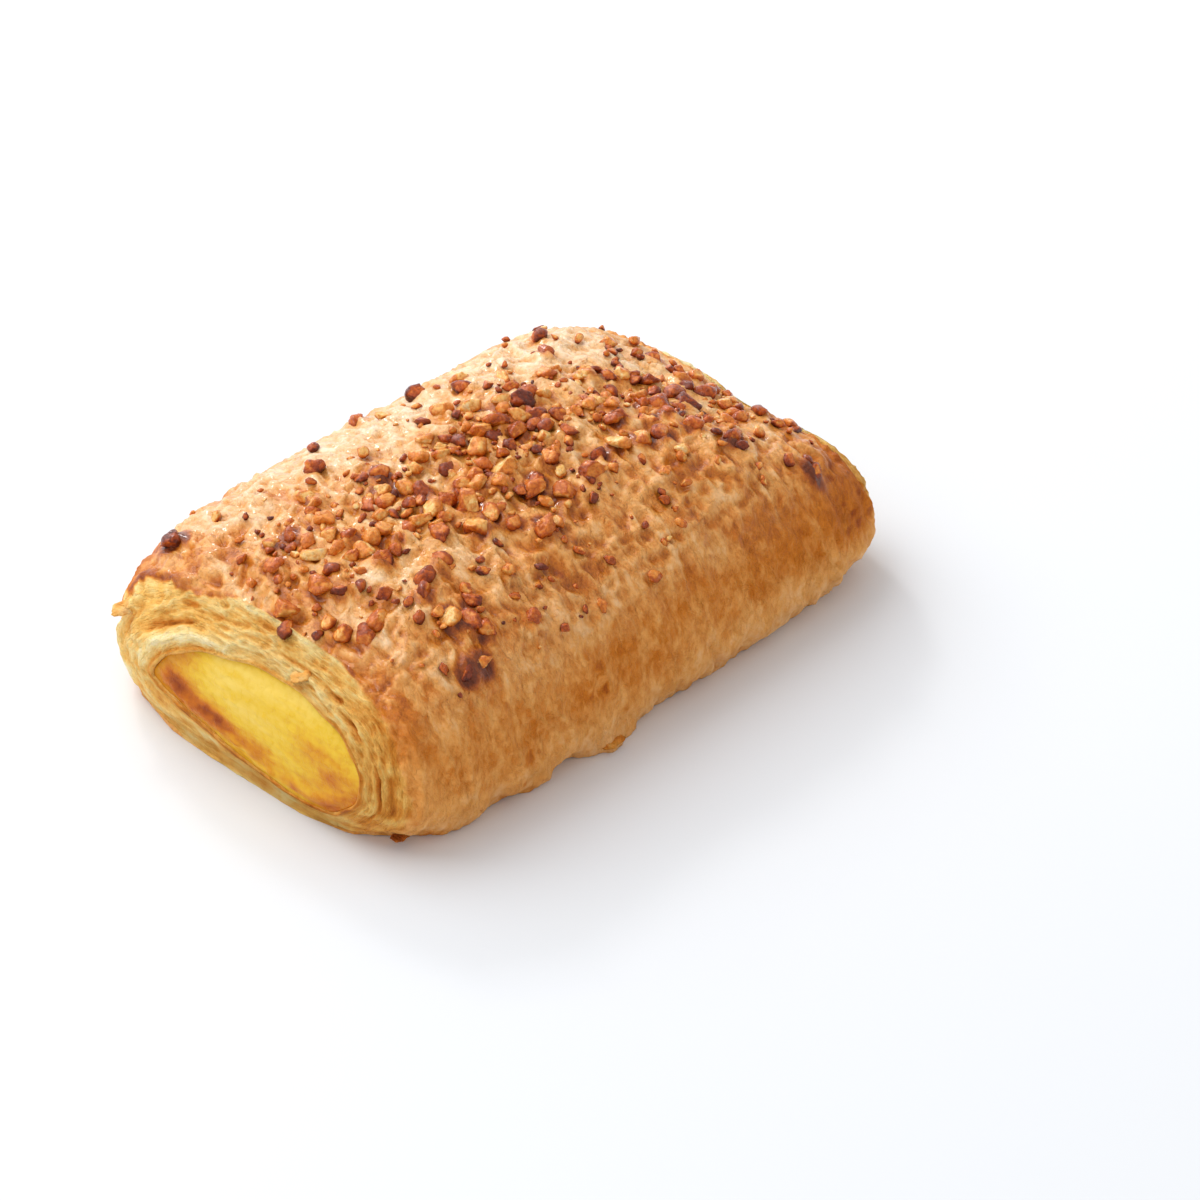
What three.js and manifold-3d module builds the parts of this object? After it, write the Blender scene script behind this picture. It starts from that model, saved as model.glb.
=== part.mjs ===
// A cream napolitana: a baked roll of flaky dough with a core of custard cream that runs through it
// and shows at both ends, glazed on top and strewn with chopped nuts.
// Millimetres, +Z up, length along X, the cream end seen in front towards -X. It stands on z = 0.
import * as THREE from "three";
import { ConvexGeometry } from "three/addons/geometries/ConvexGeometry.js";
import { mergeVertices } from "three/addons/utils/BufferGeometryUtils.js";
import Module from "manifold-3d";

const wasm = await Module();
wasm.setup();

// ---------------------------------------------------------------- sizes, mm
const ROLL = { halfLength: 62.5, halfWidth: 42, height: 38, waist: 9, capStart: 53.5 };
// Superellipse powers: how square the roll is in plan, and how full its shoulders are each way.
const PLAN = { left: 5, right: 7.5, foot: 4.6 };
// The left side is rounder towards the near end, and the far end falls away more on the right.
const SHOULDER = { near: 3, far: 2.15, farRight: 1.95, left: 1.95, leftNear: 1.55, right: 2.5 };
// How far the foot tucks in below the waist, as a share of the length and of the width.
const TUCK = { length: 0.025, width: 0.095 };
// The half-moon of cream: a chord, with one bow above it and a flatter one below.
const CREAM = {
  y: -5.4, z: 12.3, slope: -0.076, halfWidth: 25.6, above: 11.7, below: 8.5, belowLean: 0.75,
};
const CREAM_GAP = 0.35; // between the cream and the dough round it
// How far the cream's face lies behind the end of the roll: under the upper bow, at the lower one
// and in the middle.
const CREAM_SUNK = { top: 0.9, bottom: 0.5, middle: 0.7 };
// The top dips here, towards the far right.
const DIP = { x: 42, y: -13, long: 12, wide: 15, deep: 1.1 };
// The foot of the front side isn't straight: where it swells out or draws in, how widely and how far.
const FOOT_LOBES = [
  { x: -47, width: 5, out: 1.2 },
  { x: -28.5, width: 4, out: 1 },
  { x: -21, width: 3, out: -1 },
  { x: -11, width: 5.5, out: 3.2 },
];

const AROUND = 48; // points round the roll
const STATIONS = 33; // sections along it, between the two end caps
const SPARSE = { sole: 0.3, creamFloor: 0.24 }; // share of the points that flat stretches get
// Rings of an end cap, from the edge of the top crust (0) in to the cream (1).
const CAP_RINGS = [0.05, 0.15, 0.27, 0.39, 0.5, 0.58, 0.66, 0.74, 0.81, 0.88, 0.94, 1];

const NUT_COUNT = 133;
const NUT_RADIUS = { large: 2.6, small: 1.55 };
const NUT_SQUASH = [1.12, 0.84, 0.7]; // long, wide and thick, as shares of the radius
const NUT_SUNK = 0.29; // of its radius, below the crust
const NUT_SPACING = 0.68; // least distance between two, as a share of the sum of their radii
const NUT_LEAN = 0.7; // how far a piece may lean over, 0 for flat on the crust
const NUT_CUTS = 6; // flat cuts that shape one piece

// ---------------------------------------------------------------- small helpers
const clamp = (v, lo = 0, hi = 1) => Math.min(hi, Math.max(lo, v));
const mix = (a, b, t) => a + (b - a) * t;
const smooth = (lo, hi, v) => {
  const t = clamp((v - lo) / (hi - lo));
  return t * t * (3 - 2 * t);
};
const bump = (centre, width, v) => Math.exp(-(((v - centre) / width) ** 2));

// A repeatable run of numbers from 0 to 1.
function numbers(seed) {
  let state = seed >>> 0;
  return () => {
    state = (Math.imul(state, 1664525) + 1013904223) >>> 0;
    return state / 4294967296;
  };
}

// The largest r between 0 and most for which inside(r) holds.
function reach(inside, most) {
  let lo = 0;
  let hi = most;
  for (let i = 0; i < 34; i++) {
    const r = (lo + hi) / 2;
    if (inside(r)) lo = r;
    else hi = r;
  }
  return lo;
}

// ---------------------------------------------------------------- the smooth roll
// Below 1 inside the roll, 1 on its skin, before any relief.
function level(x, y, z) {
  const down = clamp((ROLL.waist - z) / ROLL.waist);
  const side = y > 0 ? PLAN.left : PLAN.right;
  const power = mix(side, PLAN.foot, down);
  const u = Math.abs(x) / ROLL.halfLength / (1 - TUCK.length * down * down);
  const v = Math.abs(y) / ROLL.halfWidth / (1 - TUCK.width * down * down);
  const plan = (u ** power + v ** power) ** (1 / power);
  const endShare = (u * u) / (u * u + v * v + 1e-9);
  const leftFull = mix(SHOULDER.leftNear, SHOULDER.left, smooth(-50, -5, x));
  const farFull = mix(SHOULDER.farRight, SHOULDER.far, smooth(-14, 6, y));
  const full = mix(y > 0 ? leftFull : SHOULDER.right, x < 0 ? SHOULDER.near : farFull, endShare);
  const up = Math.max(0, (z - ROLL.waist) / (ROLL.height - ROLL.waist));
  return (plan ** full + up ** full) ** (1 / full);
}

// The way out of the skin at a point.
function outward(x, y, z) {
  const d = 0.05;
  const above = Math.max(z, 0.5);
  return new THREE.Vector3(
    level(x + d, y, above) - level(x - d, y, above),
    level(x, y + d, above) - level(x, y - d, above),
    level(x, y, above + d) - level(x, y, above - d),
  ).normalize();
}

// n points spaced round a closed outline of [y, z] points: evenly, but wider apart by 1 / share
// where isFlat holds.
function spaced(outline, n, isFlat, share) {
  const run = [0];
  outline.forEach(([y, z], i) => {
    const [nextY, nextZ] = outline[(i + 1) % outline.length];
    const weight = isFlat(i, y, z) ? share : 1;
    run.push(run[i] + weight * Math.hypot(nextY - y, nextZ - z));
  });
  const points = [];
  let k = 0;
  for (let i = 0; i < n; i++) {
    const s = (run.at(-1) * i) / n;
    while (run[k + 1] < s) k++;
    const t = (s - run[k]) / (run[k + 1] - run[k]);
    const [y0, z0] = outline[k];
    const [y1, z1] = outline[(k + 1) % outline.length];
    points.push([mix(y0, y1, t), mix(z0, z1, t)]);
  }
  return points;
}

// The roll's outline at x, from the middle of the bottom round by -Y and over the top.
function section(x) {
  const centre = ROLL.waist + 2;
  const outline = [];
  for (let i = 0; i < 360; i++) {
    const a = (i * Math.PI) / 180;
    const y = -Math.sin(a);
    const z = -Math.cos(a);
    const skin = reach((r) => level(x, y * r, centre + z * r) < 1, 60);
    const floor = z < -1e-6 ? -centre / z : Infinity;
    const r = Math.min(skin, floor);
    outline.push([y * r, centre + z * r]);
  }
  return spaced(outline, AROUND, (_, y, z) => z < 0.01, SPARSE.sole);
}

// The outline of the cream, drawn in by inset, in the same order as a section.
function creamOutline(inset = 0, share = 1) {
  const outline = [];
  for (let i = 0; i < 360; i++) {
    const a = ((i - 90) * Math.PI) / 180;
    const c = Math.cos(a);
    const s = Math.sin(a);
    const y = CREAM.y - (CREAM.halfWidth - inset) * share * c;
    const bow = (s > 0 ? CREAM.above : CREAM.below * (1 + CREAM.belowLean * c)) - inset;
    outline.push([y, CREAM.z + CREAM.slope * (y - CREAM.y) + bow * share * s]);
  }
  return spaced(outline, AROUND, (i) => i < 90 || i >= 270, SPARSE.creamFloor);
}

// How far the end of the roll reaches along X over a point of the end view.
const endReach = (end, y, z) => reach((r) => level(end * r, y, z) < 1, ROLL.halfLength);

// The height of the crust over a point of the plan.
const crustHeight = (x, y) =>
  ROLL.waist + reach((r) => level(x, y, ROLL.waist + r) < 1, ROLL.height - ROLL.waist);

// ---------------------------------------------------------------- relief in the dough
// Blisters on top, and shallow ridges that run up the sides.
function crustRelief(x, y, z) {
  const top = smooth(20, 34, z);
  const side = smooth(0.5, 5, z) * (1 - top);
  const blisters =
    0.55 * Math.sin(x / 3.4 + 2.1 * Math.sin(y / 6.1)) * Math.sin(y / 3.9 + 1.7 * Math.sin(x / 7.3));
  const swells = 0.35 * Math.sin(x / 9.5 + y / 17 + 0.6) + 0.25 * Math.sin(x / 15 - y / 8.5 + 2.1);
  const dip = DIP.deep * bump(DIP.x, DIP.long, x) * bump(DIP.y, DIP.wide, y);
  const ridges = 0.38 * Math.sin(x / 1.35 + z / 9 + 1.6 * Math.sin(x / 8.3));
  const quiet = 1 - smooth(ROLL.capStart - 3, ROLL.capStart, Math.abs(x));
  return quiet * (top * (blisters + swells - dip) + side * ridges) + footRelief(x, y, z);
}

// Lobes of dough that spread at the foot of the front side.
function footRelief(x, y, z) {
  if (y > 0) return 0;
  const low = 1 - smooth(0.5, 5, z);
  const rim = smooth(0.93, 1, level(x, y, z));
  const out = FOOT_LOBES.reduce((sum, lobe) => sum + lobe.out * bump(lobe.x, lobe.width, x), 0);
  return low * rim * out;
}

// Relief across an end cap at share t of the way in: the lip of the top crust, then a flaky band
// with strands. At the upper left a pocket, a pale fold and a groove lie between it and the cream.
function capRelief(t, y, z, seed) {
  const across = 0.35 + 0.65 * smooth(4, 13, z); // the lip under the cream is thin and plain
  const upperLeft = smooth(0, 9, y) * smooth(9, 14, z);
  const pocket = smooth(9, 14, y) * smooth(14, 18, z);
  const strands = 0.32 * Math.sin(30 * t + 0.23 * y + seed) + 0.2 * Math.sin(0.55 * y + 17 * t + 2 * seed);
  const band = smooth(0.05, 0.15, t) * (1 - smooth(0.48, 0.58, t));
  return (
    across *
    (0.4 * bump(0.05, 0.05, t) +
      band * (strands - 0.5) -
      1.5 * pocket * bump(0.585, 0.04, t) +
      0.75 * upperLeft * bump(0.79, 0.09, t) -
      0.3 * upperLeft * bump(0.93, 0.03, t)) *
    (1 - smooth(0.97, 1, t))
  );
}

// ---------------------------------------------------------------- meshes from rings
// A closed solid from rings of equal length. `closed` joins the last ring to the first.
function skin(rings, closed) {
  const n = rings[0].length;
  const points = rings.flat();
  const faces = [];
  const last = closed ? rings.length : rings.length - 1;
  for (let r = 0; r < last; r++) {
    const a = r * n;
    const b = ((r + 1) % rings.length) * n;
    for (let i = 0; i < n; i++) {
      const j = (i + 1) % n;
      faces.push([a + i, b + i, a + j], [a + j, b + i, b + j]);
    }
  }
  if (!closed) {
    [0, (rings.length - 1) * n].forEach((start, isLast) => {
      const middle = new THREE.Vector3();
      for (let i = 0; i < n; i++) middle.add(points[start + i]);
      points.push(middle.divideScalar(n));
      for (let i = 0; i < n; i++) {
        const j = (i + 1) % n;
        faces.push(
          isLast
            ? [start + i, points.length - 1, start + j]
            : [start + j, points.length - 1, start + i],
        );
      }
    });
  }
  return solid(points, faces);
}

function solid(points, faces) {
  const vertProperties = new Float32Array(points.flatMap((p) => [p.x, p.y, p.z]));
  const triVerts = new Uint32Array(faces.flat());
  const made = new wasm.Manifold(new wasm.Mesh({ numProp: 3, vertProperties, triVerts }));
  if (made.volume() > 0) return made;
  const turned = new Uint32Array(faces.flatMap(([a, b, c]) => [a, c, b]));
  return new wasm.Manifold(new wasm.Mesh({ numProp: 3, vertProperties, triVerts: turned }));
}

// The solid that is stretched over some points.
function chunk(points) {
  const geometry = new ConvexGeometry(points);
  geometry.deleteAttribute("normal");
  const merged = mergeVertices(geometry);
  const vertProperties = merged.attributes.position.array;
  const triVerts = new Uint32Array(merged.index.array);
  return new wasm.Manifold(new wasm.Mesh({ numProp: 3, vertProperties, triVerts }));
}

// ---------------------------------------------------------------- the dough
const place = (x, y, z, lift) => {
  const p = new THREE.Vector3(x, y, z).addScaledVector(outward(x, y, z), lift);
  p.z = Math.max(0, p.z);
  return p;
};

// The rings of one end cap, from the crust edge in to the cream.
function capRings(end, seed) {
  const edge = section(end * ROLL.capStart);
  const opening = creamOutline();
  return CAP_RINGS.map((t) =>
    edge.map(([y0, z0], i) => {
      const [openY, openZ] = opening[i];
      const y = mix(y0, openY, t);
      const z = mix(z0, openZ, t);
      const room = smooth(1, 6, Math.hypot(openY - y0, openZ - z0)); // less relief on a narrow band
      return place(end * endReach(end, y, z), y, z, room * capRelief(t, y, z, seed));
    }),
  );
}

const along = Array.from({ length: STATIONS }, (_, i) =>
  mix(-ROLL.capStart, ROLL.capStart, i / (STATIONS - 1)),
);
const body = skin(
  [
    ...capRings(-1, 0.4).reverse(),
    ...along.map((x) => section(x).map(([y, z]) => place(x, y, z, crustRelief(x, y, z)))),
    ...capRings(1, 2.9),
  ],
  true, // the last ring joins the first: the wall of the tunnel that holds the cream
);

// ---------------------------------------------------------------- chopped nuts
// How thickly the nuts lie: a band along the top, a little towards the front side.
function nutShare(x, y) {
  const band = bump(-4.5 - 0.07 * x, 13.5, y);
  const spill = 0.3 * bump(-26, 9, y) * bump(-26, 24, x);
  const strays = 0.055;
  const wave = Math.sin(x / 3.6 + 2 * Math.sin(y / 6.3)) * Math.sin(y / 3.3 + 2 * Math.sin(x / 7.1));
  const clumps = mix(0.25, 1, smooth(-0.45, 0.45, wave));
  return clumps * (band + spill + strays) * smooth(-57, -42, x) * smooth(55, 46, x);
}

const UP = new THREE.Vector3(0, 0, 1);
const NUT_DIRECTIONS = [];
const golden = (1 + Math.sqrt(5)) / 2;
for (const s of [-1, 1]) {
  for (const g of [-golden, golden]) {
    NUT_DIRECTIONS.push(
      new THREE.Vector3(s, g, 0),
      new THREE.Vector3(0, s, g),
      new THREE.Vector3(g, 0, s),
    );
  }
}
NUT_DIRECTIONS.forEach((d) => d.normalize());

const randomWay = (next) => new THREE.Vector3(next() - 0.5, next() - 0.5, next() - 0.5);

// One chopped piece round the origin: a pebble with a few flat cuts.
function nutPoints(radius, next) {
  const cuts = Array.from({ length: NUT_CUTS }, () => ({
    way: randomWay(next).normalize(),
    at: mix(0.52, 0.84, next()),
  }));
  return NUT_DIRECTIONS.map((d) => {
    let r = 1.08;
    for (const { way, at } of cuts) r = Math.min(r, at / Math.max(d.dot(way), 0.01));
    const [long, wide, thick] = NUT_SQUASH;
    return new THREE.Vector3(d.x * long, d.y * wide, d.z * thick).multiplyScalar(r * radius);
  });
}

// Places are found by throwing darts over the crust, and the largest piece comes first.
function nutPlaces() {
  const next = numbers(20);
  const places = [];
  for (let tries = 0; places.length < NUT_COUNT && tries < 40000; tries++) {
    const x = mix(-58, 60, next());
    const y = mix(-37, 33, next());
    const keep = next();
    const rank = places.length / NUT_COUNT;
    const radius = mix(NUT_RADIUS.large, NUT_RADIUS.small, rank ** 0.45);
    if (keep > nutShare(x, y)) continue;
    const clear = places.every((p) => Math.hypot(p.x - x, p.y - y) > NUT_SPACING * (p.radius + radius));
    if (clear) places.push({ x, y, radius });
  }
  return places;
}

function nuts() {
  return nutPlaces().map(({ x, y, radius }, i) => {
    const next = numbers(1000 + 7 * i);
    const shape = nutPoints(radius, next);
    const z = crustHeight(x, y);
    const way = outward(x, y, z);
    const lift = crustRelief(x, y, z) + radius * (NUT_SQUASH[2] * 0.62 - NUT_SUNK);
    const at = new THREE.Vector3(x, y, z).addScaledVector(way, lift);
    const up = randomWay(next).multiplyScalar(NUT_LEAN).add(way).normalize();
    const spin = new THREE.Quaternion().setFromAxisAngle(UP, next() * 2 * Math.PI);
    const turn = new THREE.Quaternion().setFromUnitVectors(UP, up).multiply(spin);
    return chunk(shape.map((p) => p.applyQuaternion(turn).add(at)));
  });
}

// Loose crumbs of crust baked on low down: where they sit, their radius and how flat they are.
const CRUMBS = [
  { at: [-58.6, 30.2, 17.5], radius: 2.2, flat: 0.5 },
  { at: [-55.3, -33.6, 2.2], radius: 1.8, flat: 0.5 },
  { at: [-12.5, -40.2, 1.9], radius: 2.6, flat: 0.5 },
  { at: [-58.2, -13.6, 25.9], radius: 1.7, flat: 0.7 },
];

function crumbs() {
  return CRUMBS.map(({ at, radius, flat }, i) => {
    const middle = new THREE.Vector3(...at);
    return chunk(
      nutPoints(radius, numbers(50 + i)).map((p) => p.multiply(new THREE.Vector3(1, 1, flat)).add(middle)),
    );
  });
}

// ---------------------------------------------------------------- the cream
function creamRings() {
  const faceRing = (end, share) => {
    return creamOutline(CREAM_GAP, share).map(([y, z]) => {
      const chord = CREAM.z + CREAM.slope * (y - CREAM.y);
      const edge = mix(CREAM_SUNK.bottom, CREAM_SUNK.top, smooth(-2, 6, z - chord));
      const sunk = mix(CREAM_SUNK.middle, edge, share ** 3);
      return new THREE.Vector3(end * (endReach(end, y, z) - sunk), y, z);
    });
  };
  const shares = [0.2, 0.45, 0.68, 0.86, 0.96, 1];
  return [
    ...shares.map((s) => faceRing(-1, s)),
    ...[...shares].reverse().map((s) => faceRing(1, s)),
  ];
}

// ---------------------------------------------------------------- the two nodes
function toMesh(name, made, material) {
  const { vertProperties, triVerts, numProp, numVert } = made.getMesh();
  const position = new Float32Array(numVert * 3);
  for (let i = 0; i < numVert; i++) {
    position.set(vertProperties.subarray(i * numProp, i * numProp + 3), i * 3);
  }
  const geometry = new THREE.BufferGeometry();
  geometry.setAttribute("position", new THREE.BufferAttribute(position, 3));
  geometry.setIndex(new THREE.BufferAttribute(new Uint32Array(triVerts), 1));
  geometry.computeVertexNormals();
  const mesh = new THREE.Mesh(geometry, material);
  mesh.name = name;
  return mesh;
}

const crust = new THREE.MeshStandardMaterial({ color: 0xc98a3c, roughness: 0.55, metalness: 0 });
const custard = new THREE.MeshStandardMaterial({ color: 0xf0c83a, roughness: 0.35, metalness: 0 });

const pastry = wasm.Manifold.union([body, ...nuts(), ...crumbs()]);

const napolitana = new THREE.Group();
napolitana.name = "cream_napolitana";
napolitana.add(toMesh("pastry", pastry, crust));
napolitana.add(toMesh("cream", skin(creamRings(), false), custard));

export default napolitana;
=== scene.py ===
# %% [markdown]
# # A cream napolitana
#
# A napolitana is a sheet of flaky dough that is rolled round a core of custard cream, glazed with
# egg, strewn with chopped nuts and baked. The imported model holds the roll, the cream and the nuts
# as plain solids at their real size. This lesson gives them the skin that an oven makes: blisters,
# layers, gloss and toasted colour. The model is loaded first, because every piece is set on it.

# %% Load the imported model
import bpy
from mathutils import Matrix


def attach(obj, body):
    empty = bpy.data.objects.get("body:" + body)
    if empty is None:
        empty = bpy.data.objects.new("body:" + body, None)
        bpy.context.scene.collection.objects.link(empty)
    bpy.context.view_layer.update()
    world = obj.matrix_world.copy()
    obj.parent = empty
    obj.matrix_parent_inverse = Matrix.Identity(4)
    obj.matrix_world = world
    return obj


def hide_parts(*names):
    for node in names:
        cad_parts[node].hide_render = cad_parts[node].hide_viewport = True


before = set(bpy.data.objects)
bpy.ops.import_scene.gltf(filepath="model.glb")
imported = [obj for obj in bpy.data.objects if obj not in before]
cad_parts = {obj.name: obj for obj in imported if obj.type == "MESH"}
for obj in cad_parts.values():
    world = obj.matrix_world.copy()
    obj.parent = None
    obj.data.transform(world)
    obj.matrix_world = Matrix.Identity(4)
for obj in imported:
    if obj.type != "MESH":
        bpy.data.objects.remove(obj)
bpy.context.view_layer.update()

# %% [markdown]
# ## Units and helpers
#
# Shapes are worked out in millimetres, as a baker would measure them, and become metres only when
# a mesh is made. Arrays of points are handled all at once with numpy, which is much quicker than
# moving one vertex after another and gives the same result each time.

# %% Units and small helpers
import math
import bmesh
import bpy
import numpy as np
from mathutils import Quaternion, Vector

MM = 0.001


def mix(a, b, t):
    return a + (b - a) * t


def smooth(low, high, v):
    """0 below low, 1 above high, with a soft start and end."""
    t = np.clip((v - low) / (high - low), 0, 1)
    return t * t * (3 - 2 * t)


def bump(centre, width, v):
    """1 at the centre, falling away to 0 on both sides within about twice the width."""
    return np.exp(-(((v - centre) / width) ** 2))


def add_object(name, data):
    made = bpy.data.objects.new(name, data)
    bpy.context.scene.collection.objects.link(made)
    return made


def aim(looker, way):
    """Turn a light or a camera so that it looks along way."""
    looker.rotation_euler = way.to_track_quat("-Z", "Y").to_euler()


print("one millimetre is", MM, "of Blender's units")

# %% [markdown]
# ## Noise
#
# Baked dough is irregular at every size. One way is Blender's own noise, but a field that is
# worked out here can shape the mesh and also colour it, so a high blister is also a dark one.
# Each corner of a grid of cubes gets a repeatable random number, and points between blend them.

# %% Noise in space
AXIS_FACTORS = (73856093, 19349663, 83492791)
SEED_FACTORS = (40503, 977)
STIRS = ((13, 1274126177), (15, 668265263))
LOW_31_BITS = 0x7FFFFFFF
LOW_16_BITS = 0xFFFF
CLOUDY_SPAN = 1.6
CREASE_DEPTH = 3.6


def corner_value(x, y, z, seed):
    """A number from -1 to 1 for whole x, y and z, which seems random and is the same each time."""
    fx, fy, fz = AXIS_FACTORS
    mixed = x * fx ^ y * fy ^ z * fz ^ (seed * SEED_FACTORS[0] + SEED_FACTORS[1])
    for shift, factor in STIRS:
        mixed = ((mixed ^ (mixed >> shift)) * factor) & LOW_31_BITS
    return 2 * ((mixed >> 8) & LOW_16_BITS) / LOW_16_BITS - 1


def noise(points, size, seed=0):
    """Smooth random values from -1 to 1, with features about as large as size (one or three)."""
    scaled = points / np.asarray(size, float)
    base = np.floor(scaled).astype(np.int64)
    part = scaled - base
    part = part * part * (3 - 2 * part)
    total = np.zeros(len(points))
    for dx in (0, 1):
        for dy in (0, 1):
            for dz in (0, 1):
                share = abs(1 - dx - part[:, 0]) * abs(1 - dy - part[:, 1]) * abs(1 - dz - part[:, 2])
                total += share * corner_value(base[:, 0] + dx, base[:, 1] + dy, base[:, 2] + dz, seed)
    return total


def cloudy(points, size, seed=0, octaves=3):
    """Noise with finer noise added to it."""
    total = np.zeros(len(points))
    for i in range(octaves):
        total += noise(points, np.asarray(size, float) / 2**i, seed + i) / 2**i
    return total / CLOUDY_SPAN


def creased(points, size, seed=0):
    """Noise folded at its middle: 1 along sharp crests, and below 0 in the broad hollows."""
    return 1 - CREASE_DEPTH * np.abs(noise(points, size, seed))


def summed(effects, points):
    """Several effects added up, each given as strength, kind of noise, size and seed."""
    return sum(strength * kind(points, size, seed) for strength, kind, size, seed in effects)


print("noise at one point:", noise(np.array([[1.0, 2.0, 3.0]]), 2.5))

# %% [markdown]
# ## The smooth roll
#
# Before any relief the roll is a superellipse: nearly a rectangle from above, with full shoulders
# at the cream end and rounder ones elsewhere, and a foot that tucks in. The sizes are those of
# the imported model, so the new skin lies where the solid's does.

# %% The form of the roll
HALF_LENGTH = 62.5
HALF_WIDTH = 42.0
HEIGHT = 38.0
WAIST = 9.0
CAP_START = 53.5
PLAN = {"left": 5.0, "right": 7.5, "foot": 4.6}
SHOULDER = {"near": 3.0, "far": 2.15, "far_right": 1.95, "left": 1.95, "left_near": 1.55, "right": 2.5}
TUCK = {"length": 0.025, "width": 0.095}
NUDGE = 0.05
HALVINGS = 28


def level(x, y, z):
    """Below 1 inside the roll, 1 on its skin."""
    down = np.clip((WAIST - z) / WAIST, 0, 1)
    power = mix(np.where(y > 0, PLAN["left"], PLAN["right"]), PLAN["foot"], down)
    u = np.abs(x) / HALF_LENGTH / (1 - TUCK["length"] * down**2)
    v = np.abs(y) / HALF_WIDTH / (1 - TUCK["width"] * down**2)
    plan = (u**power + v**power) ** (1 / power)
    end_share = u**2 / (u**2 + v**2 + 1e-9)
    left_full = mix(SHOULDER["left_near"], SHOULDER["left"], smooth(-50, -5, x))
    far_full = mix(SHOULDER["far_right"], SHOULDER["far"], smooth(-14, 6, y))
    side_full = np.where(y > 0, left_full, SHOULDER["right"])
    full = mix(side_full, np.where(x < 0, SHOULDER["near"], far_full), end_share)
    up = np.maximum(0, (z - WAIST) / (HEIGHT - WAIST))
    return (plan**full + up**full) ** (1 / full)


def outward(points):
    """The way out of the skin at each point."""
    places = points.copy()
    places[:, 2] = np.maximum(points[:, 2], 0.5)
    slope = np.zeros_like(places)
    for axis in range(3):
        step = np.zeros(3)
        step[axis] = NUDGE
        slope[:, axis] = level(*(places + step).T) - level(*(places - step).T)
    return slope / np.linalg.norm(slope, axis=1, keepdims=True)


def reach(inside, most):
    """The largest distance below most at which inside(distance) holds, found by halving."""
    low = np.zeros_like(most)
    high = most.copy()
    for _ in range(HALVINGS):
        middle = (low + high) / 2
        holds = inside(middle)
        low = np.where(holds, middle, low)
        high = np.where(holds, high, middle)
    return low


def crust_height(x, y):
    start = np.full_like(x, HEIGHT - WAIST)
    return WAIST + reach(lambda r: level(x, y, WAIST + r) < 1, start)


def end_reach(end, y, z):
    return reach(lambda r: level(end * r, y, z) < 1, np.full_like(y, HALF_LENGTH))


print("height of the crust in the middle:", crust_height(np.array([0.0]), np.array([0.0])))

# %% [markdown]
# ## Outlines round the roll
#
# A section of the roll and the half-moon of cream are both closed outlines with the same number of
# points, counted from the middle of the underside. With equal numbers, one can be blended into the
# other, which makes the end of the roll. Flat stretches need fewer points than curved ones.

# %% Outlines
AROUND = 300
SOLE_SHARE = 0.3
CREAM_FLOOR_SHARE = 0.5
CREAM = {"y": -5.4, "z": 12.3, "slope": -0.076, "half_width": 25.6}
CREAM_BOW = {"above": 11.7, "below": 8.5, "below_lean": 0.75}
RAGGED = 0.7
DRAWN_POINTS = 720
BEYOND_SKIN = 60.0
CENTRE_HEIGHT = WAIST + 2


def spaced(outline, n, weights):
    """n points round a closed outline, the closer together the larger the weight."""
    closed = np.vstack([outline, outline[:1]])
    steps = np.hypot(*np.diff(closed, axis=0).T) * weights
    run = np.concatenate([[0], np.cumsum(steps)])
    at = np.linspace(0, run[-1], n, endpoint=False)
    return np.stack([np.interp(at, run, closed[:, 0]), np.interp(at, run, closed[:, 1])], axis=1)


def section(x):
    """The roll's outline at x, as (y, z), from the middle of the sole round by -Y."""
    angle = np.linspace(0, 2 * np.pi, DRAWN_POINTS, endpoint=False)
    y, z = -np.sin(angle), -np.cos(angle)
    start = np.full(DRAWN_POINTS, BEYOND_SKIN)
    r = reach(lambda r: level(x, y * r, CENTRE_HEIGHT + z * r) < 1, start)
    to_floor = np.where(z < -1e-6, -CENTRE_HEIGHT / np.minimum(z, -1e-6), np.inf)
    r = np.minimum(r, to_floor)
    outline = np.stack([y * r, CENTRE_HEIGHT + z * r], axis=1)
    return spaced(outline, AROUND, np.where(outline[:, 1] < 0.01, SOLE_SHARE, 1))


def cream_outline(inset=0.0, share=1.0, n=AROUND):
    """The half-moon of cream, drawn in by inset, in the same order as a section. Its edge is uneven."""
    angle = np.linspace(0, 2 * np.pi, DRAWN_POINTS, endpoint=False) - np.pi / 2
    c, s = np.cos(angle), np.sin(angle)
    uneven = 0.5 + 0.3 * np.sin(5 * angle + 1) * np.sin(3 * angle) + 0.2 * np.sin(13 * angle + 2)
    inset = inset + RAGGED * uneven
    y = CREAM["y"] - (CREAM["half_width"] - inset) * share * c
    above = CREAM_BOW["above"] - inset
    below = CREAM_BOW["below"] * (1 + CREAM_BOW["below_lean"] * c) - inset
    z = CREAM["z"] + CREAM["slope"] * (y - CREAM["y"]) + np.where(s > 0, above, below) * share * s
    return spaced(np.stack([y, z], axis=1), n, np.where(s < 0, CREAM_FLOOR_SHARE, 1))


print("width of the cream:", np.ptp(cream_outline()[:, 0]))

# %% [markdown]
# ## Where the nuts lie
#
# Chopped nuts are thrown over the wet glaze, so they lie at random but thickest along the top. The
# solid's nuts were placed by throwing darts with a seeded run of numbers. The same run is used
# here, so each nut covers its solid one. Finer crumbs, too small for the solid, are thrown after.

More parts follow.
